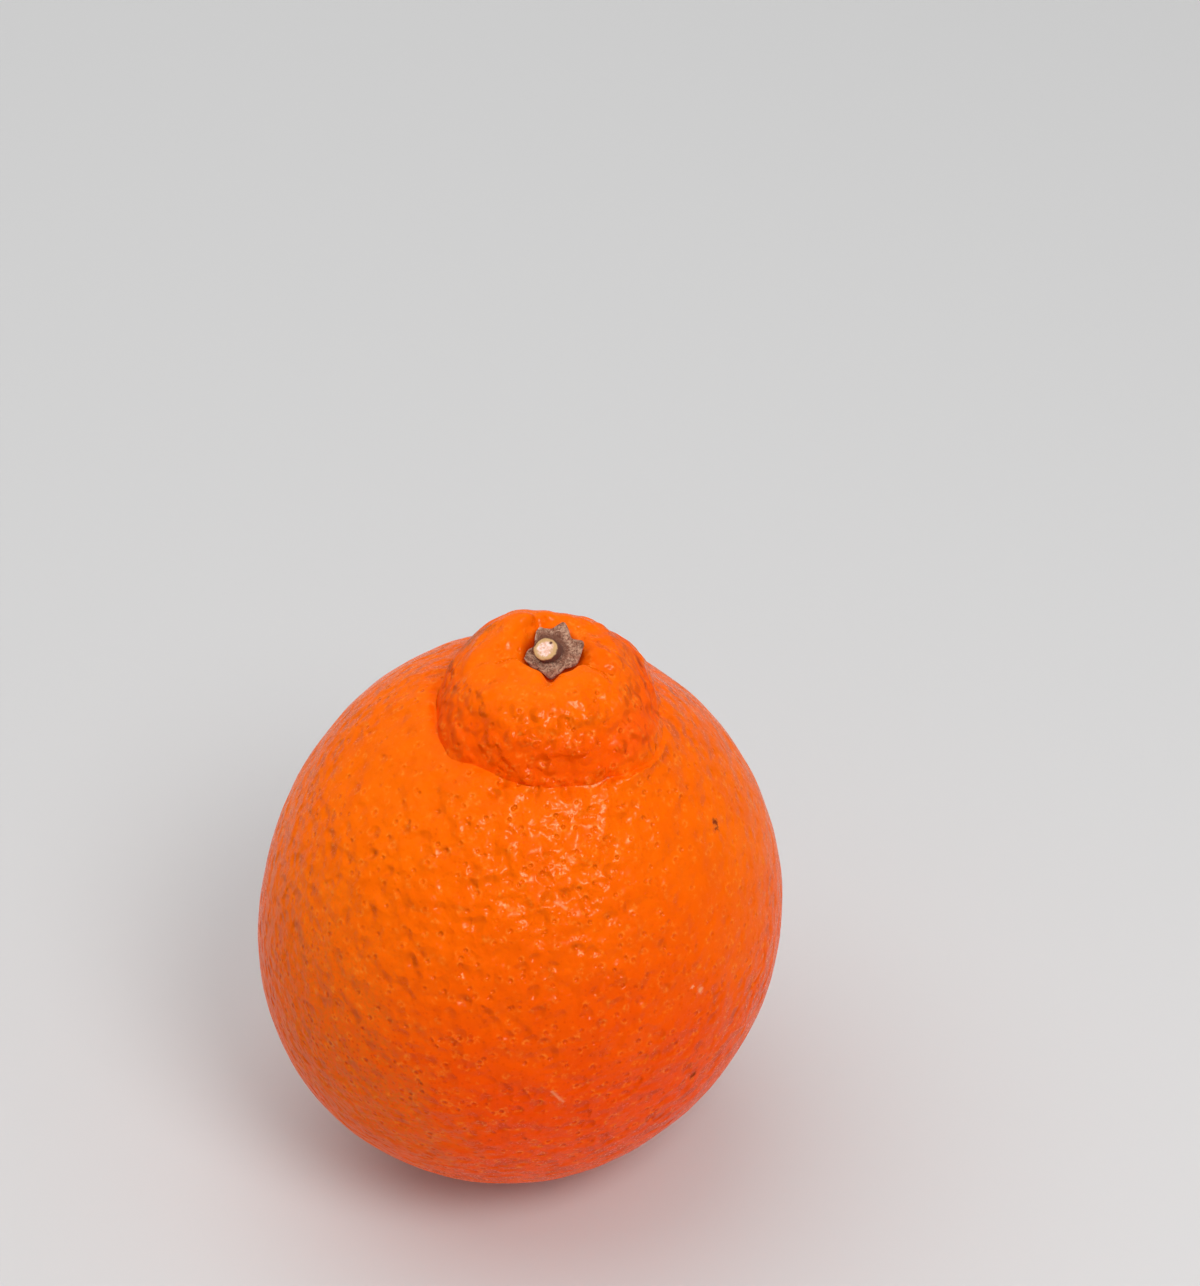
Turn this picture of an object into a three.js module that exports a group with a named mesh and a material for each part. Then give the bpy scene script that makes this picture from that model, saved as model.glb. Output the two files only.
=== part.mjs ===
// A tangelo of the bell-shaped kind with a knob of a neck, standing on its blossom end.
// It is three pieces: the fruit, the star-shaped calyx that sits in the pit on top of the neck,
// and the clipped stub of stem that stands on the calyx.
// Lengths are millimetres and +Z is up. The origin is on the surface that the fruit stands on,
// under the middle of its width. Azimuth 0 is +X, and the front of the fruit is towards -Y.
import * as THREE from "three";

const degree = Math.PI / 180;

const body = {
  radius: 39.6, // at the belly, the widest ring
  depth: 41.3, // from the belly down to where the rounding would close
  rise: 45.7, // from the belly up to where the shoulders would close
  restRadius: 9, // the small flat spot
  lean: 0.042, // sideways towards +X for each millimetre of height
  leanStarts: 8, // height below which the lean fades out, so that the weight is over the flat spot
};
const blossomScar = { radius: 2.2, depth: 0.5 };
const neck = {
  radius: 17, // of the fold round its foot
  centreX: 3.26,
  centreY: -0.7,
  top: 53.4, // of its rim, above the belly
  slope: 0.14, // of its top, which is lower at the front
  bulge: 0.3, // how far its side swells out
};
const pit = {
  radius: 6.4, // of its outermost ring
  floorRadius: 3, // of its flat middle
  rimRadius: 5.7, // where its wall ends
  forward: 1.2, // how far the flat middle is pushed to the front, so that the wall is steeper there
  depth: 2.3,
  shiftX: 0.17, // of its middle from the middle of the neck
  shiftY: -1.1,
};
const calyx = { thickness: 0.75, edge: 0.6, valley: 3.1, gap: 0.32, boss: 0.25, bossRadius: 2.3 };
const stub = {
  radius: 1.8,
  height: 1.8, // along its own axis
  gap: 0.3,
  leanBy: 36, // degrees from upright
  leanTo: 238, // azimuth that it leans towards
  cut: 0.16, // slant of the clipped end, facing the way it leans
  shiftX: -0.4, // of its foot from the middle of the calyx
  shiftY: -0.55,
};

const segments = 88; // round the fruit
const rings = { lower: 14, shoulder: 20, neck: 18, pit: 10 };

const clamp01 = (x) => THREE.MathUtils.clamp(x, 0, 1);
const smooth = THREE.MathUtils.smoothstep; // (x, low, high)

// Difference of two azimuths, from -180 to 180 degrees.
const turnBetween = (a, b) => ((((a - b) % 360) + 540) % 360) - 180;

// 1 at the azimuth given, falling to 0 a few widths away.
const near = (azimuth, at, width) => Math.exp(-((turnBetween(azimuth, at) / width) ** 2));

// The sum of several bumps along the azimuth, each { at, width, by }.
const along = (azimuth, bumps) => bumps.reduce((sum, b) => sum + b.by * near(azimuth, b.at, b.width), 0);

// The same draws each time.
function seededRandom(seed) {
  let state = seed;
  return () => {
    state = (state * 1664525 + 1013904223) % 4294967296;
    return state / 4294967296;
  };
}

// Half an oval: its height at a radius. power 2 is an ellipse, and more is squarer.
const ovalHeight = (r, reach, height, power) => height * (1 - clamp01(r / reach) ** power) ** (1 / power);

const bellyHeight = ovalHeight(body.restRadius, body.radius, body.depth, 2);

// The rings of the fruit from the blossom end to the middle of the pit.
// zone says which rule places a ring, r is its radius and share how far it is through its zone.
function fruitRings() {
  const list = [
    { zone: "scar", r: 0, share: 0 },
    { zone: "scar", r: blossomScar.radius / 2, share: 0.5 },
    { zone: "scar", r: blossomScar.radius, share: 1 },
    { zone: "rest", r: body.restRadius, share: 1 },
  ];
  const lowTurn = Math.acos(body.restRadius / body.radius);
  for (let i = 1; i <= rings.lower; i++) {
    const share = i / rings.lower;
    list.push({ zone: "lower", r: body.radius * Math.cos(lowTurn * (1 - share)), share });
  }
  const highTurn = Math.acos(neck.radius / body.radius);
  for (let i = 1; i <= rings.shoulder; i++) {
    const share = 1 - (1 - i / rings.shoulder) ** 1.55; // closer together towards the fold
    list.push({ zone: "shoulder", r: body.radius * Math.cos(highTurn * share), share });
  }
  const neckTurn = Math.acos((pit.radius / neck.radius) ** 1.15);
  for (let i = 1; i <= rings.neck; i++) {
    const share = (i / rings.neck) ** 1.15;
    list.push({ zone: "neck", r: neck.radius * Math.cos(neckTurn * share) ** 0.87, share });
  }
  for (let i = 1; i <= rings.pit; i++) {
    list.push({ zone: "pit", r: pit.radius * (1 - i / rings.pit), share: i / rings.pit });
  }
  return list;
}

// Swells that keep the body from being a perfect turned shape.
function bodySwell(azimuth, height) {
  const belt = smooth(height, 2, 26) * (1 - smooth(height, 62, 80));
  const low = smooth(height, 2, 20) * (1 - smooth(height, 30, 50));
  const a = azimuth * degree;
  const waves = -0.0062 * Math.cos(2 * a + 1.7) + 0.0115 * Math.cos(3 * a + 0.4);
  return 1 + belt * waves - low * 0.0134 * Math.cos(a + 1.03);
}

// The fold round the neck isn't a true circle: how far out it lies, as a share of its radius.
const neckOutline = (azimuth) =>
  0.965 +
  along(azimuth, [
    { at: 217, width: 15, by: 0.09 },
    { at: 152, width: 14, by: -0.03 },
    { at: 98, width: 26, by: -0.13 },
    { at: 38, width: 14, by: 0.11 },
    { at: 5, width: 18, by: -0.025 },
    { at: 268, width: 24, by: 0.045 },
    { at: 293, width: 6, by: 0.025 },
    { at: 250, width: 6, by: 0.025 },
  ]);

// How squarely the neck is domed at an azimuth: more is flatter on top and steeper at the foot.
const neckFullness = (azimuth) =>
  4 +
  along(azimuth, [
    { at: 258, width: 55, by: 1.6 },
    { at: 10, width: 45, by: -1 },
    { at: 95, width: 40, by: -1.5 },
  ]);

// The profile of the neck: 0 at the fold and 1 in the middle.
const neckLevel = (azimuth, r) => 1 - clamp01(r / neck.radius) ** neckFullness(azimuth);

// How deep the fold cuts below the shoulder, in millimetres.
const foldDepth = (azimuth) =>
  0.35 +
  along(azimuth, [
    { at: 182, width: 30, by: 0.9 },
    { at: 240, width: 18, by: 0.1 },
    { at: 315, width: 20, by: 0.5 },
    { at: 48, width: 28, by: 0.5 },
    { at: 140, width: 22, by: 0.5 },
  ]);

// How far the fold spreads over the shoulder: crisp at the left and wide like a saddle at the right.
const foldWidth = (azimuth) =>
  1.3 +
  along(azimuth, [
    { at: 30, width: 45, by: 2.8 },
    { at: 140, width: 24, by: 1.8 },
  ]);

// The shoulder is hollow behind the neck, at both sides. outside is the distance from the fold.
const saddleDepth = (azimuth, outside) =>
  Math.exp(-(((outside - 4.5) / 4.5) ** 2)) *
  along(azimuth, [
    { at: 55, width: 26, by: 1.2 },
    { at: 128, width: 26, by: 1.0 },
  ]);

// The raised lip of the shoulder along the fold.
const lipHeight = (azimuth) =>
  along(azimuth, [
    { at: 312, width: 18, by: 0.55 },
    { at: 195, width: 22, by: 0.25 },
  ]);

// Furrows that run out from the calyx over the rim of the neck, between its lobes.
const furrows = [
  { at: 267, depth: 1.2, width: 7, from: 3, to: 9.5 },
  { at: 338, depth: 1.0, width: 7, from: 3, to: 10.5 },
  { at: 42, depth: 0.5, width: 10, from: 3, to: 11 },
  { at: 110, depth: 0.9, width: 5.5, from: 3, to: 11 },
  { at: 189, depth: 1.0, width: 7, from: 3, to: 12.5 },
];

function furrowDepth(azimuth, r) {
  let sum = 0;
  for (const f of furrows) {
    const reach = smooth(r, f.from, f.from + 2) * (1 - smooth(r, f.from + 2.5, f.to));
    const width = f.width * (1 + 3.5 / Math.max(r, 2)); // narrower, in degrees, further out
    sum += f.depth * reach * near(azimuth, f.at, width);
  }
  return sum;
}

// Lumps and hollows of the side of the neck: the large ones by hand, then small seeded pebbles.
// level is 0 at the fold and 1 on top.
const lumps = [
  { at: 224, level: 0.62, width: 2.8, height: -0.5 },
  { at: 247, level: 0.52, width: 4.2, height: 0.3 },
  { at: 206, level: 0.4, width: 3.6, height: 0.35 },
  { at: 291, level: 0.66, width: 5, height: 0.35 },
  { at: 124, level: 0.84, width: 4.8, height: 1.6 },
  { at: 236, level: 0.3, width: 2.4, height: 0.35 },
];

function seededPebbles(count) {
  const random = seededRandom(71);
  return Array.from({ length: count }, () => ({
    at: random() * 360,
    level: 0.05 + 0.75 * random(),
    width: 1.3 + 1.1 * random(),
    height: 0.7 * random() - 0.3,
  }));
}

const neckRelief = [...lumps, ...seededPebbles(90)];

function reliefHeight(azimuth, r, level, wallHeight) {
  let sum = 0;
  for (const p of neckRelief) {
    const across = turnBetween(azimuth, p.at) * degree * Math.max(r, 4);
    const up = (level - p.level) * wallHeight;
    sum += p.height * Math.exp(-(across * across + up * up) / (p.width * p.width));
  }
  return Math.min(sum, 1.5);
}

// Height of the bare shoulder over the belly, above a point of the plan, before the lean.
const shoulderHeight = (x, y) => ovalHeight(Math.hypot(x, y), body.radius, body.rise, 2);

// The whole fruit leans: this is how far a height is carried towards +X.
const leanShift = (z) => body.lean * (z - bellyHeight) * smooth(z, 0, body.leanStarts);

// The bottom of the fold, over the belly: it follows the shoulder round the neck.
function foldHeight(azimuth) {
  const foot = neck.radius * neckOutline(azimuth);
  const x = neck.centreX + foot * Math.cos(azimuth * degree);
  const y = neck.centreY + foot * Math.sin(azimuth * degree);
  return shoulderHeight(x, y) - foldDepth(azimuth) - saddleDepth(azimuth, 0);
}

// The smooth dome of the neck: its height over the belly at an azimuth and a radius.
function domeHeight(azimuth, r) {
  const foot = foldHeight(azimuth);
  const top = neck.top + neck.slope * r * Math.sin(azimuth * degree);
  return foot + (top - foot) * neckLevel(azimuth, r);
}

// The surface of the pit over the belly, before the furrows: a floor with a wall up to the rim.
function pitHeight(azimuth, r) {
  const floor = neck.top - pit.depth + neck.slope * r * Math.sin(azimuth * degree);
  const back = Math.sin(azimuth * degree);
  const flat = pit.floorRadius - pit.forward * back;
  const rim = pit.rimRadius + 0.5 * back + 0.25 * Math.cos(5 * (azimuth - 267) * degree);
  return THREE.MathUtils.lerp(floor, domeHeight(azimuth, r), smooth(r, flat, rim));
}

// Where the rings of the pit and the calyx are centred.
const pitCentre = { x: neck.centreX + pit.shiftX, y: neck.centreY + pit.shiftY };

function scarPoint(ring, azimuth) {
  const z = ring.zone === "scar" ? blossomScar.depth * (1 - ring.share ** 2) : 0;
  return { x: ring.r * Math.cos(azimuth * degree), y: ring.r * Math.sin(azimuth * degree), z };
}

function lowerPoint(ring, azimuth) {
  const z = bellyHeight - ovalHeight(ring.r, body.radius, body.depth, 2);
  const r = ring.r * bodySwell(azimuth, z);
  return { x: r * Math.cos(azimuth * degree), y: r * Math.sin(azimuth * degree), z };
}

// The rings of the shoulder slide over until they are centred on the neck.
function shoulderPoint(ring, azimuth) {
  const slide = smooth(ring.share, 0.25, 1);
  const r = ring.r * (1 + (neckOutline(azimuth) - 1) * slide ** 2);
  const x = neck.centreX * slide + r * Math.cos(azimuth * degree);
  const y = neck.centreY * slide + r * Math.sin(azimuth * degree);
  const bare = shoulderHeight(x, y);
  const swell = bodySwell(azimuth, bellyHeight + bare);
  const outside = (ring.r - neck.radius) * 1.2; // distance from the fold along the shoulder
  const groove = foldDepth(azimuth) * Math.exp(-((outside / foldWidth(azimuth)) ** 2));
  const lip = lipHeight(azimuth) * Math.exp(-(((outside - 1.5) / 0.9) ** 2));
  const z = bellyHeight + bare - groove + lip - saddleDepth(azimuth, outside);
  return { x: x * swell, y: y * swell, z };
}

// The neck rises from the fold to its rim.
function neckPoint(ring, azimuth) {
  const level = neckLevel(azimuth, ring.r);
  const wallHeight = neck.top - foldHeight(azimuth);
  const relief = reliefHeight(azimuth, ring.r, level, wallHeight) * smooth(level, 0, 0.1);
  const onTop = smooth(level, 0.55, 0.95); // relief swells outwards on the side and upwards on top
  const outline = THREE.MathUtils.lerp(neckOutline(azimuth), 1, smooth(level, 0.2, 0.95));
  const swelling = neck.bulge * Math.sin(Math.PI * clamp01(level * 1.5)) * (1 - near(azimuth, 15, 60));
  const r = ring.r * outline + swelling + relief * (1 - onTop);
  const centred = smooth(level, 0.2, 0.95);
  const z = domeHeight(azimuth, ring.r) + relief * onTop - furrowDepth(azimuth, ring.r);
  return {
    x: neck.centreX + pit.shiftX * centred + r * Math.cos(azimuth * degree),
    y: neck.centreY + pit.shiftY * centred + r * Math.sin(azimuth * degree),
    z: bellyHeight + z,
  };
}

function pitPoint(ring, azimuth) {
  return {
    x: pitCentre.x + ring.r * Math.cos(azimuth * degree),
    y: pitCentre.y + ring.r * Math.sin(azimuth * degree),
    z: bellyHeight + pitHeight(azimuth, ring.r) - furrowDepth(azimuth, ring.r),
  };
}

const placeByZone = {
  scar: scarPoint,
  rest: scarPoint,
  lower: lowerPoint,
  shoulder: shoulderPoint,
  neck: neckPoint,
  pit: pitPoint,
};
const fruitPoint = (ring, azimuth) => placeByZone[ring.zone](ring, azimuth);

// A lathe whose rings are then placed one by one: point(ring, azimuth) says where a vertex goes.
function placedLathe(list, steps, point) {
  const turned = new THREE.LatheGeometry(list.map((ring, i) => new THREE.Vector2(ring.r, i)), steps);
  const { position, uv } = turned.attributes;
  for (let i = 0; i < position.count; i++) {
    const ring = list[Math.round(uv.getY(i) * (list.length - 1))];
    const p = point(ring, 360 * (uv.getX(i) % 1) - 90);
    position.setXYZ(i, p.x + leanShift(p.z), p.y, p.z);
  }
  turned.computeVertexNormals();
  return turned;
}

// The five sepals of the calyx: where each points, how long it is and how much its tip curls up.
const sepals = [
  { at: 114, length: 4.6, halfWidth: 32, curl: 0.6 },
  { at: 71, length: 4.8, halfWidth: 34, curl: 0.45 },
  { at: 4, length: 4.5, halfWidth: 58, curl: 0.5 },
  { at: 267, length: 4.2, halfWidth: 42, curl: 0.2 },
  { at: 200, length: 4.4, halfWidth: 40, curl: 0.2 },
];

function calyxReach(azimuth) {
  let reach = calyx.valley;
  let curl = 0;
  for (const s of sepals) {
    const along = Math.max(0, 1 - Math.abs(turnBetween(azimuth, s.at)) / s.halfWidth);
    const long = calyx.valley + (s.length - calyx.valley) * along ** 0.8;
    if (long > reach) {
      reach = long;
      curl = s.curl * along ** 2;
    }
  }
  return { reach, curl };
}

// The calyx is a thin star that follows the pit, with a low boss in the middle.
const calyxRings = [
  ...[0, 0.3, 0.6, 0.85, 1].map((r) => ({ r, over: 0 })),
  ...[1, 0.85, 0.6, 0.4, 0.2, 0].map((r) => ({ r, over: 1 })),
];

function calyxPoint(ring, azimuth) {
  const { reach, curl } = calyxReach(azimuth);
  const r = ring.r * reach;
  const under = bellyHeight + pitHeight(azimuth, r) - furrowDepth(azimuth, r) + calyx.gap;
  const thick = THREE.MathUtils.lerp(calyx.thickness, calyx.edge, ring.r);
  const boss = calyx.boss * (1 - smooth(r, calyx.bossRadius * 0.75, calyx.bossRadius));
  return {
    x: pitCentre.x + r * Math.cos(azimuth * degree),
    y: pitCentre.y + r * Math.sin(azimuth * degree),
    z: under + curl * smooth(ring.r, 0.5, 1) + ring.over * (thick + boss),
  };
}

// The stub stands on the boss with its foot cut to the slope there, leans and was clipped on a slant.
function stubGeometry() {
  const cylinder = new THREE.CylinderGeometry(stub.radius, stub.radius * 1.06, 1, 32, 5);
  cylinder.rotateX(Math.PI / 2);
  const bossHeight = bellyHeight + neck.top - pit.depth + calyx.gap + calyx.thickness + calyx.boss;
  const footX = pitCentre.x + stub.shiftX + leanShift(bossHeight);
  const footY = pitCentre.y + stub.shiftY;
  const foot = new THREE.Vector3(footX, footY, bossHeight - neck.slope * 0.5 + stub.gap);
  const ground = new THREE.Vector3(0, -neck.slope, 1);
  const axis = new THREE.Vector3().setFromSphericalCoords(1, stub.leanBy * degree, 0);
  axis.set(axis.z, 0, axis.y).applyAxisAngle(new THREE.Vector3(0, 0, 1), stub.leanTo * degree);
  const across = new THREE.Vector3(0, 0, 1).cross(axis).normalize();
  const down = new THREE.Vector3().crossVectors(axis, across);
  const p = cylinder.attributes.position;
  for (let i = 0; i < p.count; i++) {
    const turn = Math.atan2(p.getY(i), p.getX(i));
    const bark = 1 + 0.03 * Math.cos(5 * turn + 1) + 0.02 * Math.cos(9 * turn);
    const side = across.clone().multiplyScalar(p.getX(i) * bark).addScaledVector(down, p.getY(i) * bark);
    const start = -side.dot(ground) / axis.dot(ground);
    const end = stub.height - stub.cut * p.getY(i);
    const at = side.addScaledVector(axis, THREE.MathUtils.lerp(start, end, p.getZ(i) + 0.5)).add(foot);
    p.setXYZ(i, at.x, at.y, at.z);
  }
  cylinder.computeVertexNormals();
  return cylinder;
}

function piece(name, geometry, colour, roughness) {
  const material = new THREE.MeshStandardMaterial({ color: colour, roughness, metalness: 0 });
  const mesh = new THREE.Mesh(geometry, material);
  mesh.name = name;
  return mesh;
}

const tangelo = new THREE.Group();
tangelo.add(
  piece("fruit", placedLathe(fruitRings(), segments, fruitPoint), 0xf26a0a, 0.4),
  piece("calyx", placedLathe(calyxRings, 60, calyxPoint), 0x80604a, 0.85),
  piece("stem_stub", stubGeometry(), 0xa07850, 0.8),
);

// The origin goes under the middle of the fruit's width.
const middle = new THREE.Box3().setFromObject(tangelo).getCenter(new THREE.Vector3());
tangelo.position.set(-middle.x, -middle.y, 0);

export default tangelo;
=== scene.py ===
# A tangelo on a pale floor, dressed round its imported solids.
# Lengths in the dictionaries are millimetres, and the scene is in metres.
# A range with a second pair beside it eases from the first share to the second.
import math

import bmesh
import bpy
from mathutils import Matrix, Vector, noise


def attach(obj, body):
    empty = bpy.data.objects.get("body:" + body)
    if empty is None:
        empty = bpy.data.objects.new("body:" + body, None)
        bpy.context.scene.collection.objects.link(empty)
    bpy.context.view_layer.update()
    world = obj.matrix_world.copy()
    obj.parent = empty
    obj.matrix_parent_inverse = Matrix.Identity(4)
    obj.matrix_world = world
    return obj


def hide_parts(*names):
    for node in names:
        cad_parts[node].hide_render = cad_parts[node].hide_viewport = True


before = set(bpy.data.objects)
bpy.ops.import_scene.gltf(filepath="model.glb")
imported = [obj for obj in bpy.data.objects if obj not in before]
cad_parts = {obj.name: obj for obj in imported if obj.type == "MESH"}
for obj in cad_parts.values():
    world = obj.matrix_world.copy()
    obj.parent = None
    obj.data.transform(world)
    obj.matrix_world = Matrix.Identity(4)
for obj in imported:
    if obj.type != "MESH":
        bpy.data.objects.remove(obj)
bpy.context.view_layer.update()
mm = 0.001
scene = bpy.context.scene


def inMetres(x, y, z):
    return Vector((x, y, z)) * mm


def direction(azimuth, elevation):
    # azimuth 0 is +X and 90 is +Y
    a, e = math.radians(azimuth), math.radians(elevation)
    return Vector((math.cos(a) * math.cos(e), math.sin(a) * math.cos(e), math.sin(e)))


def ramp(value, start, end):
    # 0 at start and 1 at end, straight between them
    return min(1, max(0, (value - start) / (end - start)))


def bell(distance, width):
    return math.exp(-((distance / width) ** 2))


def srgb(red, green, blue):
    # screen values 0 to 255 as a linear colour
    def linear(value):
        value /= 255
        return value / 12.92 if value <= 0.04045 else ((value + 0.055) / 1.055) ** 2.4

    return (linear(red), linear(green), linear(blue), 1.0)


class Wire:
    # an output socket that takes part in sums like a number
    def __init__(self, finish, socket):
        self.finish = finish
        self.socket = socket

    def other(self, name):
        return Wire(self.finish, self.socket.node.outputs[name])

    def maths(self, operation, *values):
        return self.finish.node("ShaderNodeMath", {"operation": operation}, dict(enumerate(values)))

    def __add__(self, value):
        return self.maths("ADD", self, value)

    def __radd__(self, value):
        return self.maths("ADD", value, self)

    def __sub__(self, value):
        return self.maths("SUBTRACT", self, value)

    def __rsub__(self, value):
        return self.maths("SUBTRACT", value, self)

    def __mul__(self, value):
        return self.maths("MULTIPLY", self, value)

    def __rmul__(self, value):
        return self.maths("MULTIPLY", value, self)


class Finish:
    # one procedural material on a Principled shader
    def __init__(self, name, **constants):
        self.material = bpy.data.materials.new(name)
        self.material.use_nodes = True
        self.tree = self.material.node_tree
        self.shader = self.tree.nodes["Principled BSDF"]
        for socket, value in constants.items():
            self.shader.inputs[socket.replace("_", " ")].default_value = value
        self.place = self.node("ShaderNodeTexCoord", {}, {}, "Object")

    def node(self, kind, settings, sockets, out=0):
        made = self.tree.nodes.new(kind)
        for name, value in settings.items():
            setattr(made, name, value)
        for name, value in sockets.items():
            if isinstance(value, Wire):
                self.tree.links.new(value.socket, made.inputs[name])
            else:
                made.inputs[name].default_value = value
        return Wire(self, made.outputs[out])

    def noise(self, size, detail=1, rough=0.5, warp=0.0, out="Fac"):
        sockets = {"Vector": self.place, "Scale": 1 / (size * mm), "Detail": detail}
        sockets["Roughness"] = rough
        sockets["Distortion"] = warp
        return self.node("ShaderNodeTexNoise", {}, sockets, out)

    def cells(self, size, place=None):
        # how far the nearest cell's middle is, in cell sizes
        sockets = {"Vector": place or self.place, "Scale": 1 / (size * mm)}
        return self.node("ShaderNodeTexVoronoi", {}, sockets, "Distance")

    def step(self, value, edge, shares=(0.0, 1.0)):
        # eases from the first share to the second as the value crosses the edge
        sockets = {"Value": value, "From Min": edge[0], "From Max": edge[1]}
        sockets["To Min"] = shares[0]
        sockets["To Max"] = shares[1]
        return self.node("ShaderNodeMapRange", {"interpolation_type": "SMOOTHSTEP"}, sockets)

    def over(self, length, edge, shares=(0.0, 1.0)):
        # the same for a length, with its edge in millimetres
        return self.step(length, [end * mm for end in edge], shares)

    def clamp(self, value):
        return self.node("ShaderNodeClamp", {}, {0: value})

    def mix(self, mask, first, second):
        return self.node("ShaderNodeMix", {"data_type": "RGBA"}, {0: mask, 6: first, 7: second}, 2)

    def vector(self, operation, first, second, out="Vector"):
        second = {"Scale": second} if operation == "SCALE" else {1: second}
        return self.node("ShaderNodeVectorMath", {"operation": operation}, {0: first, **second}, out)

    def spot(self, point, inner, outer, wobble=0.0):
        # 1 within inner of the point and 0 beyond outer, in millimetres
        gap = self.vector("DISTANCE", self.place, inMetres(*point), out="Value") + wobble
        return self.over(gap, (inner, outer), (1.0, 0.0))

    def stroke(self, points, width, wobble):
        # 1 along a line through the points and 0 at its width, in millimetres
        nearest = 1.0
        for start, end in zip(points, points[1:]):
            start, end = inMetres(*start), inMetres(*end)
            way = end - start
            along = self.vector("SUBTRACT", self.place, start)
            part = self.clamp(self.vector("DOT_PRODUCT", along, way / way.length_squared, out="Value"))
            gap = self.vector("DISTANCE", along, self.vector("SCALE", way, part), out="Value")
            nearest = gap.maths("MINIMUM", gap, nearest)
        return self.over(nearest + wobble, (0.0, width), (1.0, 0.0))

    def plug(self, socket, value):
        self.tree.links.new(value.socket, self.shader.inputs[socket])

    def plugBump(self, height):
        # height in millimetres
        sockets = {"Height": height, "Distance": mm, "Strength": 1.0}
        self.plug("Normal", self.node("ShaderNodeBump", {}, sockets, "Normal"))


view = {
    "eye": (12.10, -440.68, 436.71),
    "pitch": 38,  # degrees below the horizon
    "lens": 109.18,
    "sensor": 36,
    "nearest": 10,
}
camera = bpy.data.objects.new("camera", bpy.data.cameras.new("camera"))
camera.data.lens = view["lens"]
camera.data.sensor_width = view["sensor"]
camera.data.clip_start = view["nearest"] * mm
camera.location = inMetres(*view["eye"])
camera.rotation_euler = (math.radians(90 - view["pitch"]), 0, 0)
scene.collection.objects.link(camera)
scene.camera = camera
scene.view_settings.view_transform = "Standard"

lights = {
    "aim": (0, 0, 45),
    "key": {"azimuth": -60, "elevation": 50, "distance": 700, "size": 300, "watts": 1.9},
    "top": {"azimuth": 140, "elevation": 70, "distance": 1200, "size": 1500, "watts": 6},
    "sky": 0.56,
    "gleams": [  # seen only in the shine of the skin
        {"azimuth": -60, "elevation": 50, "distance": 690, "size": 300, "watts": 10},
        {"azimuth": -60, "elevation": 50, "distance": 680, "size": 100, "watts": 6},
    ],
}


def softbox(name, azimuth, elevation, distance, size, watts):
    lamp = bpy.data.objects.new(name, bpy.data.lights.new(name, "AREA"))
    lamp.data.shape = "DISK"
    lamp.data.size = size * mm
    lamp.data.energy = watts
    towards = direction(azimuth, elevation)
    lamp.location = inMetres(*lights["aim"]) + towards * distance * mm
    lamp.rotation_euler = towards.to_track_quat("Z", "Y").to_euler()
    scene.collection.objects.link(lamp)
    return lamp


softbox("key", **lights["key"])
softbox("top", **lights["top"])
for number, gleam in enumerate(lights["gleams"]):
    softbox(f"gleam{number}", **gleam).visible_diffuse = False
world = bpy.data.worlds.new("studio")
world.use_nodes = True
world.node_tree.nodes["Background"].inputs["Color"].default_value = (1, 1, 1, 1)
world.node_tree.nodes["Background"].inputs["Strength"].default_value = lights["sky"]
scene.world = world

ground = {"halfSide": 2500, "grey": 0.62, "roughness": 0.6}
floorMesh = bpy.data.meshes.new("floor")
bm = bmesh.new()
bmesh.ops.create_grid(bm, x_segments=1, y_segments=1, size=ground["halfSide"] * mm)
bm.to_mesh(floorMesh)
bm.free()
floor = bpy.data.objects.new("floor", floorMesh)
scene.collection.objects.link(floor)
paleGrey = (ground["grey"], ground["grey"], ground["grey"], 1)
floorFinish = Finish("pale_floor", Base_Color=paleGrey, Roughness=ground["roughness"])
floorMesh.materials.append(floorFinish.material)
print("camera, light and floor made")

meshing = {"mergeWithin": 0.002, "flattest": 40, "squarest": 60}  # the last two in degrees


def mergedCopy(node, name):
    # the solid's faces as one closed skin, of quads where two triangles make one
    bm = bmesh.new()
    bm.from_mesh(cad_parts[node].data)
    bmesh.ops.remove_doubles(bm, verts=bm.verts, dist=meshing["mergeWithin"] * mm)
    bmesh.ops.join_triangles(
        bm,
        faces=bm.faces,
        angle_face_threshold=math.radians(meshing["flattest"]),
        angle_shape_threshold=math.radians(meshing["squarest"]),
    )
    mesh = bpy.data.meshes.new(name)
    bm.to_mesh(mesh)
    bm.free()
    return mesh


def smoothed(mesh, levels):
    # the mesh after that many subdivisions, applied
    rough = bpy.data.objects.new("rough", mesh)
    scene.collection.objects.link(rough)
    finer = rough.modifiers.new("finer", "SUBSURF")
    finer.levels = levels
    finer.render_levels = levels
    graph = bpy.context.evaluated_depsgraph_get()
    result = bpy.data.meshes.new_from_object(rough.evaluated_get(graph))
    bpy.data.objects.remove(rough)
    return result


def undulation(spot, waves):
    return sum(rise * noise.noise(spot / size) for size, rise in waves)


def pushOut(mesh, height):
    # moves each vertex outwards by the height at its place, in millimetres
    mesh.update()
    normals = [v.normal.copy() for v in mesh.vertices]
    for vertex, normal in zip(mesh.vertices, normals):
        vertex.co += normal * height(vertex.co / mm) * mm


def addPiece(name, mesh, finish, node):
    mesh.materials.clear()
    mesh.materials.append(finish.material)
    mesh.polygons.foreach_set("use_smooth", [True] * len(mesh.polygons))
    piece = bpy.data.objects.new(name, mesh)
    scene.collection.objects.link(piece)
    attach(piece, "root")
    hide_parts(node)
    print(name, len(mesh.polygons), "faces")


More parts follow.
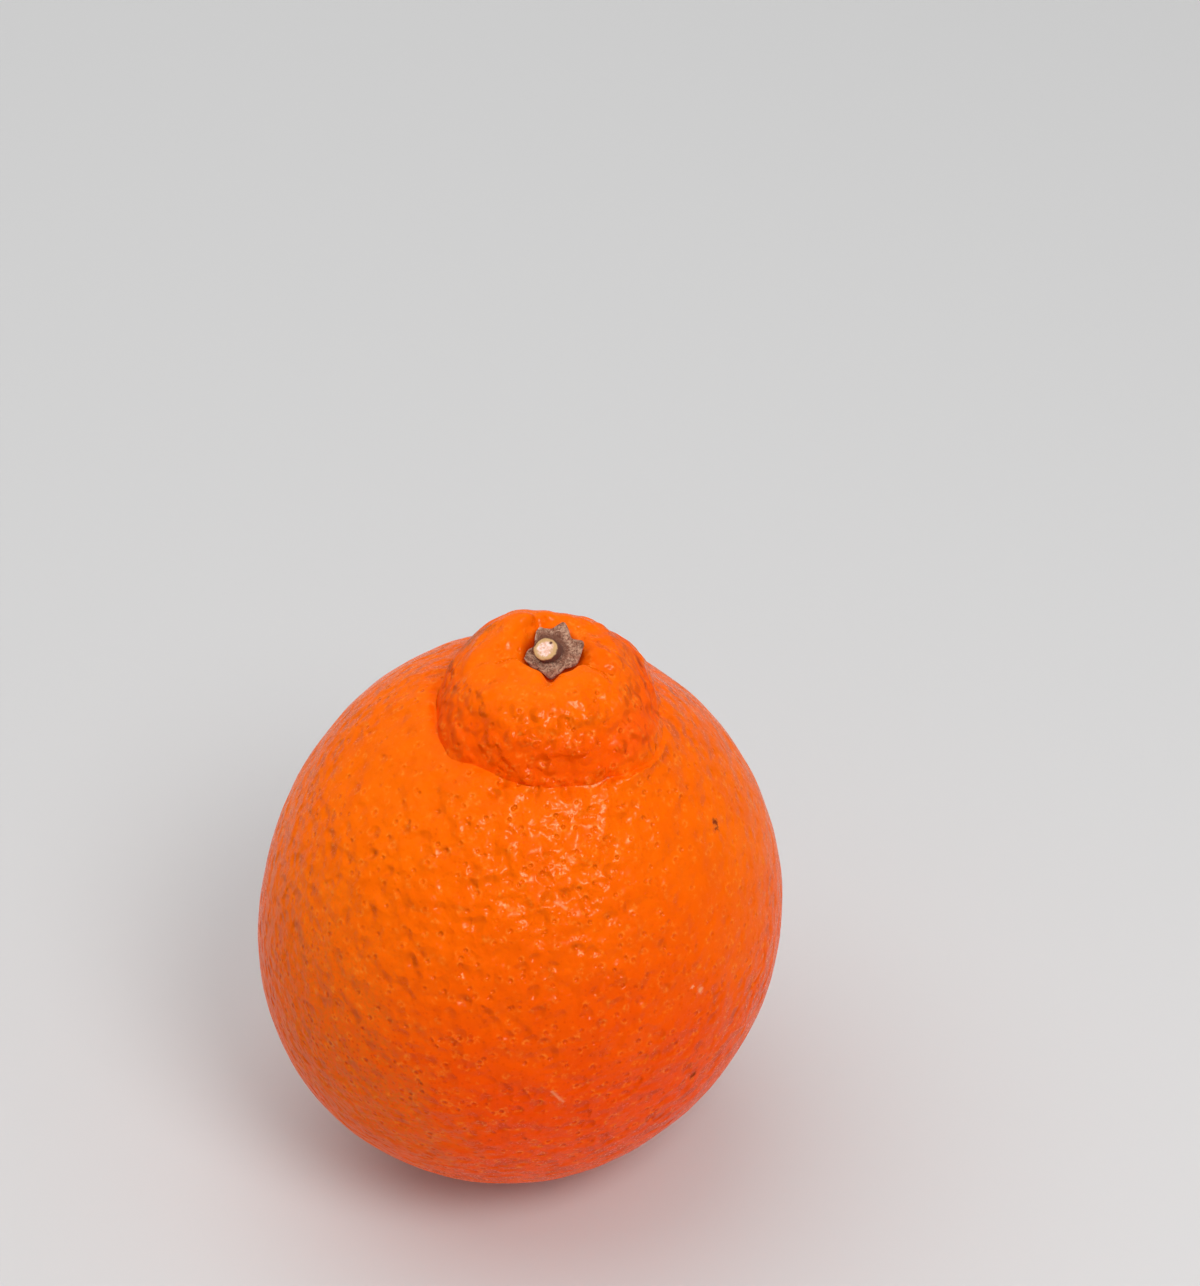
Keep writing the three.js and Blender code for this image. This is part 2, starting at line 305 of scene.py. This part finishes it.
rind = {
    "levels": 2,
    "shader": {
        "Subsurface_Weight": 0.1,
        "Subsurface_Scale": 0.001,
        "Subsurface_Radius": (1.0, 0.3, 0.05),
        "IOR": 1.45,
        "Specular_IOR_Level": 0.05,
        "Specular_Tint": (1, 0.8, 0.55, 1),
    },
    "form": {
        "waves": [(7.0, 0.12), (4.2, 0.08)],  # size and height of each undulation of the skin
        "wavesFrom": (0.4, 3.4),  # they grow between these heights over the floor
        "neckWaves": [(3.2, 0.36), (1.8, 0.16)],  # more of it on the neck
        "neckWavesAt": (70, 30, 50),  # where in the noise they are taken
        "neckMiddle": (3.4, -1.1),
        "neckFrom": (81, 83),
        "neckReach": 19,
        "foldAbove": 60,  # the skin round the fold is reshaped only above this height
        "valley": {"radius": 17.6, "inner": 2.4, "outer": 6.0, "rise": 1.7, "spread": 62},
        "foot": {"azimuth": -34, "spread": 20, "shift": 1.9},  # reaches further at the right front
        "ruffle": {"radius": 17.6, "width": 2.0, "size": 3.0, "shift": 0.6},  # an uneven fold line
    },
    "wall": {  # the steep side of the neck
        "fold": [  # azimuth and radius of the line where it ends
            (-180, 15.4), (-148, 16.8), (-105, 17.4), (-65, 17.9), (-30, 18.6),
            (-15, 17.6), (0, 16.8), (20, 15.6), (180, 15.4),
        ],
        "past": (0.3, -0.5),  # it fades in between these distances beyond the fold
        "above": 79,
        "inner": 6,
        "upright": (0.93, 0.68),  # the upward part of the normal, from flat to steep
    },
    "relief": {  # size and height of what the shading carries, with edges in cell sizes
        "swell": {"size": 3.4, "height": 1.3},
        "ripple": {"size": 1.4, "height": 0.1},
        "dents": {"size": 2.8, "edge": (0.0, 0.5), "height": (0.18, 0.6)},  # in even and uneven skin
        "pits": {"size": 1.7, "edge": (0.03, 0.27), "height": (0.34, 0.17)},
        "pores": {"size": 0.9, "edge": (0.05, 0.36), "height": 0.04},
        "knobs": {"size": 2.4, "edge": (0.05, 0.6), "height": 0.5},  # on the steep side of the neck
        "rim": (0.18, 0.3, 0.55),  # round each pit, partly pale skin and partly a painted glint: inner edge, crest and outer edge
        "evenTo": (0.3, 0.6),
        "wander": {"size": 2.3, "by": 1.4},  # keeps the cells out of rows
        "pitsSteady": 0.75,  # share of that wander which the pits don't take
        "smoother": [((33, -12, 62), 6, 30), ((-18, -8, 79), 4, 16), ((3, -2, 93), 5, 14)],
        "smootherBy": 0.6,
        "scar": 0.15,
    },
    "noises": {
        "broad": {"size": 16, "detail": 3},
        "uneven": {"size": 5, "detail": 3, "rough": 0.6},
        "fine": {"size": 0.5, "detail": 3, "rough": 0.6},
        "ragged": {"size": 5, "detail": 5, "rough": 0.7},
        "raggedBy": 26,
    },
    "colour": {
        "low": srgb(242, 68, 0),
        "high": srgb(254, 108, 0),
        "highLeft": ((10, -30), (0.0, 0.4)),
        "highUp": ((45, 85), (0.1, 0.85)),
        "highRight": ((22, 39), (0.0, 0.35)),
        "highDown": ((28, 8), (0.0, 0.3)),
        "highBlur": 20,
        "neckTop": ((2, -3, 96), 5, 13),  # middle, inner and outer radius
        "neckTopShare": 0.3,
        "wall": srgb(255, 80, 0),
        "wallUp": ((89, 94), (0.6, 0.0)),
        "wallBlur": 6,
        # deeper red of the glands and uneven patches, also painted shade in the dents
        "gland": srgb(206, 46, 0),
        "glandUneven": ((0.35, 0.8), (0.0, 0.2)),
        "glandDents": 0.06,
        "glandPits": ((0.3, 0.7), (0.15, 0.35)),
        "glandWorn": 0.35,
        "glandUp": ((45, 65), (1.0, 0.35)),
        "dull": srgb(214, 104, 24),
        "dullSpots": [((-30, -24, 46), 6, 27), ((-22, -33, 30), 4, 22)],
        "dullShare": 0.8,
        "dullGrain": ((0.35, 0.65), (0.2, 0.7)),
        # pale rims round the pits, partly the skin's own colour and partly painted glints
        "rim": srgb(255, 150, 50),
        "rimGrain": (0.35, 0.65),
        "rimRipple": ((0.42, 0.62), (0.0, 0.42)),
        "deep": srgb(168, 22, 0),
        "hollow": ((5.2, -1.6, 90.6), 3.6, 5.4),  # painted shade under the calyx
        "hollowShare": 0.8,
    },
    "marks": {
        "shake": 0.8,
        # pale of the scratches and flecks, also used for the painted highlight along the lip
        "pale": srgb(250, 190, 140),
        # a painted highlight along the lip of the fold at the right front
        "lip": {
            "line": [
                (11.1, -17.5, 80.2), (13.1, -15.8, 80.4), (15.2, -14.3, 80.4),
                (17.8, -12.6, 80.2), (20.3, -10.2, 79.5),
            ],
            "width": 0.32,
            "share": 0.6,
        },
        "scratches": {
            "lines": [[(5.8, -30.1, 69.6), (7.3, -30.4, 68.7)], [(5.2, -38.9, 41.0), (6.8, -38.5, 38.6)]],
            "width": 0.4,
            "share": 0.35,
        },
        "flecks": [((26.5, -27.8, 50.6), 0.1, 0.9), ((25.5, -28.6, 52.0), 0.1, 0.5)],
        "fleckShare": 0.5,
        "bruise": srgb(150, 84, 36),
        "scuffs": [
            ((-6.7, 4.2, 89.7), 0.6, 3.4), ((-4.2, 3.8, 92.3), 0.3, 2.2), ((-9.6, 1.5, 87.2), 0.3, 2.2)
        ],
        "scuffRagged": 0.12,
        "scuffGrain": ((0.35, 0.65), (0.2, 0.8)),
        "scar": srgb(140, 48, 8),
        "nicks": [
            ((28.7, -12.7, 69.6), 0.1, 0.8), ((28.9, -13.3, 68.8), 0.1, 0.6), ((25.8, -28.0, 33.7), 0.1, 0.9)
        ],
        "edgeShake": 2,
    },
    "roughness": {
        "skin": ((0.2, 0.8), (0.23, 0.29)),
        "worn": 0.1,
        "scar": 0.3,
        "flanks": ((9, 14), (0.0, 0.4)),  # left and right of the middle of the neck
    },
}


def fromNeckMiddle(spot):
    # the level way from the middle of the neck to a point, and its azimuth
    around = spot - Vector((*rind["form"]["neckMiddle"], spot.z))
    return around, math.degrees(math.atan2(around.y, around.x))


def rindForm(point):
    # where a point of the skin lies once the crease round the neck is reshaped, in millimetres
    form = rind["form"]
    spot = point / mm
    if spot.z <= form["foldAbove"]:
        return spot
    around, turn = fromNeckMiddle(spot)
    outwards = around.normalized()
    valley, foot, ruffle = form["valley"], form["foot"], form["ruffle"]
    width = valley["inner"] if around.length < valley["radius"] else valley["outer"]
    rise = valley["rise"] * bell(turn, valley["spread"])
    spot.z += rise * bell(around.length - valley["radius"], width)
    shift = ruffle["shift"] * noise.noise(outwards * ruffle["radius"] / ruffle["size"])
    shift += foot["shift"] * bell(turn - foot["azimuth"], foot["spread"])
    return spot + outwards * shift * bell(around.length - ruffle["radius"], ruffle["width"])


def rindRelief(spot):
    # how far a point of the skin moves outwards, in millimetres
    form = rind["form"]
    height = undulation(spot, form["waves"])
    around, turn = fromNeckMiddle(spot)
    if around.length < form["neckReach"]:
        elsewhere = spot + Vector(form["neckWavesAt"])
        height += ramp(spot.z, *form["neckFrom"]) * undulation(elsewhere, form["neckWaves"])
    return height * ramp(spot.z, *form["wavesFrom"])


def foldRadius(turn):
    fold = rind["wall"]["fold"]
    for (start, near), (end, far) in zip(fold, fold[1:]):
        if turn <= end:
            return near + (far - near) * (turn - start) / (end - start)


def neckWall(vertex):
    # 1 on the steep side of the neck, 0 on its top and on the shoulder
    wall = rind["wall"]
    spot = vertex.co / mm
    around, turn = fromNeckMiddle(spot)
    if spot.z < wall["above"] or around.length < wall["inner"]:
        return 0.0
    inside = ramp(around.length - foldRadius(turn), *wall["past"])
    return inside * ramp(vertex.normal.z, *wall["upright"])


def makeRindFinish():
    f = Finish("tangelo_rind", **rind["shader"])
    relief, noises, colour = rind["relief"], rind["noises"], rind["colour"]
    marks, roughness = rind["marks"], rind["roughness"]

    # patterns
    wander = f.noise(relief["wander"]["size"], out="Color")
    bent = f.vector("ADD", f.vector("SCALE", wander, relief["wander"]["by"] * mm), f.place)
    dents = f.step(f.cells(relief["dents"]["size"], bent), relief["dents"]["edge"])
    knobs = f.step(f.cells(relief["knobs"]["size"], bent), relief["knobs"]["edge"], (1.0, 0.0))
    pores = f.step(f.cells(relief["pores"]["size"]), relief["pores"]["edge"])
    toPit = f.cells(relief["pits"]["size"], f.mix(relief["pitsSteady"], bent, f.place))
    pits = f.step(toPit, relief["pits"]["edge"])
    inner, crest, outer = relief["rim"]
    rim = f.step(toPit, (inner, crest)) * f.step(toPit, (crest, outer), (1.0, 0.0))
    ripple = f.noise(relief["ripple"]["size"])
    swell = f.noise(relief["swell"]["size"])
    broad = f.noise(**noises["broad"])
    uneven = f.noise(**noises["uneven"])
    fine = f.noise(**noises["fine"])
    ragged = (f.noise(**noises["ragged"]) - 0.5) * (noises["raggedBy"] * mm)
    steep = f.node("ShaderNodeAttribute", {"attribute_name": "steep"}, {}, "Fac")
    x = f.node("ShaderNodeSeparateXYZ", {}, {0: f.place}, "X")
    z = x.other("Z")

    # yellower towards the top and the edges, redder in the middle and on the side of the neck
    blur = broad * (colour["highBlur"] * mm)
    high = f.over(x + blur, *colour["highLeft"]) + f.over(z + blur, *colour["highUp"])
    high = high + f.over(x, *colour["highRight"]) + f.over(z, *colour["highDown"])
    high = high + f.spot(*colour["neckTop"]) * colour["neckTopShare"]
    skin = f.mix(f.clamp(high), colour["low"], colour["high"])
    blur = broad * (colour["wallBlur"] * mm)
    skin = f.mix(steep * f.over(z + blur, *colour["wallUp"]), skin, colour["wall"])
    skin = f.mix(f.step(uneven, *colour["glandUneven"]), skin, colour["gland"])
    # painted shade in the dents
    skin = f.mix((1 - dents) * colour["glandDents"], skin, colour["gland"])

    # a dull patch low on the left, then pale rims round the pits, partly painted glints, and darker points
    # at the pits
    worn = f.clamp(sum(f.spot(*place, ragged) * colour["dullShare"] for place in colour["dullSpots"]))
    skin = f.mix(worn * f.step(fine, *colour["dullGrain"]), skin, colour["dull"])
    # the pale rims are partly painted glints, brightest on the crests of the ripple
    rim = rim * f.step(fine, colour["rimGrain"]) * f.step(ripple, *colour["rimRipple"])
    skin = f.mix(rim, skin, colour["rim"])
    points = worn * colour["glandWorn"] + f.step(uneven, *colour["glandPits"])
    points = (1 - pits * pores) * points * f.over(z, *colour["glandUp"])
    skin = f.mix(points, skin, colour["gland"])
    # painted shade in the pit under the front of the calyx
    skin = f.mix(f.spot(*colour["hollow"]) * colour["hollowShare"], skin, colour["deep"])

    # old marks, and a painted highlight along the lip of the fold
    shaken = (fine - 0.5) * (marks["shake"] * mm)
    edge = shaken * marks["edgeShake"]
    bruise = sum(f.spot(*scuff, ragged * marks["scuffRagged"]) for scuff in marks["scuffs"])
    skin = f.mix(f.clamp(bruise * f.step(fine, *marks["scuffGrain"])), skin, marks["bruise"])
    lip, scratches = marks["lip"], marks["scratches"]
    # a painted highlight along the lip, then pale scratches and flecks
    pale = f.stroke(lip["line"], lip["width"], shaken) * lip["share"]
    for line in scratches["lines"]:
        pale = pale + f.stroke(line, scratches["width"], shaken) * scratches["share"]
    for fleck in marks["flecks"]:
        pale = pale + f.spot(*fleck, edge) * marks["fleckShare"]
    skin = f.mix(f.clamp(pale), skin, marks["pale"])
    scar = sum(f.spot(*nick, edge) for nick in marks["nicks"])
    skin = f.mix(f.clamp(scar), skin, marks["scar"])
    f.plug("Base Color", skin)

    aside = x - rind["form"]["neckMiddle"][0] * mm
    flanks = f.over(aside.maths("ABSOLUTE", aside), *roughness["flanks"])
    sheen = f.step(fine, *roughness["skin"]) + worn * roughness["worn"]
    f.plug("Roughness", sheen + scar * roughness["scar"] + steep * flanks)

    height = dents * f.step(uneven, relief["evenTo"], relief["dents"]["height"])
    height = height + pits * f.step(uneven, relief["evenTo"], relief["pits"]["height"])
    height = height + pores * relief["pores"]["height"]
    height = height + ripple * relief["ripple"]["height"] + swell * relief["swell"]["height"]
    height = height + knobs * steep * relief["knobs"]["height"]
    smoother = sum(f.spot(*place) for place in relief["smoother"]) * relief["smootherBy"]
    f.plugBump(height * (1 - smoother) - scar * relief["scar"])
    return f


rindMesh = smoothed(mergedCopy("fruit", "rind_rough"), rind["levels"])
for vertex in rindMesh.vertices:
    vertex.co = rindForm(vertex.co) * mm
pushOut(rindMesh, rindRelief)
rindMesh.name = "rind"
rindMesh.update()
steepness = rindMesh.attributes.new("steep", "FLOAT", "POINT")
for vertex in rindMesh.vertices:
    steepness.data[vertex.index].value = neckWall(vertex)
addPiece("rind", rindMesh, makeRindFinish(), "fruit")

calyx = {
    "levels": 3,
    "shader": {"Roughness": 0.9, "Specular_IOR_Level": 0.2},
    "crinkle": [(1.6, 0.10), (0.7, 0.05)],  # size and height of its dry wrinkles
    "patches": {"size": 1.1, "detail": 4, "rough": 0.65},
    "ridges": {"size": 0.6, "detail": 2, "warp": 1.5},
    "grit": {"size": 0.28, "detail": 3, "rough": 0.7},
    "bark": srgb(166, 112, 86),
    "pale": srgb(204, 160, 132),
    "palePatches": (0.4, 0.62),
    "dark": srgb(104, 54, 32),
    "darkRidges": ((0.38, 0.54), (0.7, 0.0)),
    "darkGrit": ((0.35, 0.55), (0.4, 0.0)),
    "darkRing": ((5.0, -1.3, 92.6), 1.9, 3.0),  # dark tissue and painted shade round the stub
    "darkRingRagged": 2,
    "darkRingShare": 0.85,
    "heights": {"ridges": 0.35, "grit": 0.12, "patches": 0.3},
}


def makeCalyxFinish():
    f = Finish("dry_calyx", **calyx["shader"])
    patches = f.noise(**calyx["patches"])
    ridges = f.noise(**calyx["ridges"])
    grit = f.noise(**calyx["grit"])
    skin = f.mix(f.step(patches, calyx["palePatches"]), calyx["bark"], calyx["pale"])
    skin = f.mix(f.step(ridges, *calyx["darkRidges"]), skin, calyx["dark"])
    skin = f.mix(f.step(grit, *calyx["darkGrit"]), skin, calyx["dark"])
    ragged = (patches - 0.5) * (calyx["darkRingRagged"] * mm)
    # dark tissue and painted shade in a ring round the stub
    skin = f.mix(f.spot(*calyx["darkRing"], ragged) * calyx["darkRingShare"], skin, calyx["dark"])
    f.plug("Base Color", skin)
    heights = calyx["heights"]
    f.plugBump(ridges * heights["ridges"] + grit * heights["grit"] + patches * heights["patches"])
    return f


calyxMesh = smoothed(mergedCopy("calyx", "calyx_rough"), calyx["levels"])
pushOut(calyxMesh, lambda spot: undulation(spot, calyx["crinkle"]))
addPiece("dry_calyx", calyxMesh, makeCalyxFinish(), "calyx")

stub = {
    "levels": 3,
    "shader": {"Roughness": 0.8, "Specular_IOR_Level": 0.25},
    "leanBy": 36,  # degrees from upright, as in the solid
    "leanTo": 238,  # and towards this azimuth
    "cutFacing": 0.95,  # how squarely a face of the cut looks along the lean
    "crinkle": [(1.3, 0.06), (0.6, 0.04)],
    "grain": {"size": 0.45, "detail": 4, "rough": 0.65},
    "flaws": {"size": 0.9, "detail": 3, "rough": 0.6},
    "core": srgb(250, 216, 204),
    "wood": srgb(232, 178, 152),
    "woodGrain": (0.4, 0.6),
    "ring": srgb(204, 160, 104),
    "ringFrom": (1.0, 1.4),  # distances from the middle of the cut
    "ringRagged": 0.5,
    "ringFlaws": ((0.56, 0.64), (0.0, 0.6)),
    # dark bark of the stub's side, partly painted shade
    "bark": srgb(96, 48, 26),
    "barkFrom": (1.62, 1.85),
    "barkDepth": (0.15, 0.5),  # below the cut, where it is partly painted shade
    "speck": (0.3, 1.2),  # across and up the cut face
    "speckReach": (0.12, 0.34),
    "heights": {"grain": 0.12, "flaws": 0.2},
}


def makeStubFinish(face, lean):
    f = Finish("clipped_stem", **stub["shader"])
    grain = f.noise(**stub["grain"])
    flaws = f.noise(**stub["flaws"])
    fromFace = f.vector("SUBTRACT", f.place, face)
    along = f.vector("DOT_PRODUCT", fromFace, lean, out="Value")
    across = f.vector("SUBTRACT", fromFace, f.vector("SCALE", lean, along))
    reach = f.vector("LENGTH", across, (0, 0, 0), out="Value")
    reach = reach + (flaws - 0.5) * (stub["ringRagged"] * mm)
    skin = f.mix(f.step(grain, stub["woodGrain"]), stub["core"], stub["wood"])
    skin = f.mix(f.over(reach, stub["ringFrom"]), skin, stub["ring"])
    skin = f.mix(f.step(flaws, *stub["ringFlaws"]), skin, stub["ring"])

    sideways = Vector((0, 0, 1)).cross(lean).normalized()
    speckAcross, speckUp = stub["speck"]
    speck = face / mm + sideways * speckAcross + lean.cross(sideways) * speckUp
    # dark bark on the side and below the cut, partly painted shade, and a dark speck on the cut
    bark = f.over(reach, stub["barkFrom"]) + f.over(0 - along, stub["barkDepth"])
    bark = bark + f.spot(speck, *stub["speckReach"])
    f.plug("Base Color", f.mix(f.clamp(bark), skin, stub["bark"]))
    f.plugBump(grain * stub["heights"]["grain"] + flaws * stub["heights"]["flaws"])
    return f


stubMesh = smoothed(mergedCopy("stem_stub", "stub_rough"), stub["levels"])
lean = direction(stub["leanTo"], 90 - stub["leanBy"])
cut = [p for p in stubMesh.polygons if p.normal.dot(lean) > stub["cutFacing"]]
area = sum(p.area for p in cut)
face = sum((p.center * p.area for p in cut), Vector()) / area
lean = sum((p.normal * p.area for p in cut), Vector()).normalized()
pushOut(stubMesh, lambda spot: undulation(spot, stub["crinkle"]))
addPiece("clipped_stem", stubMesh, makeStubFinish(face, lean), "stem_stub")
print("cut face at", [round(value / mm, 1) for value in face])
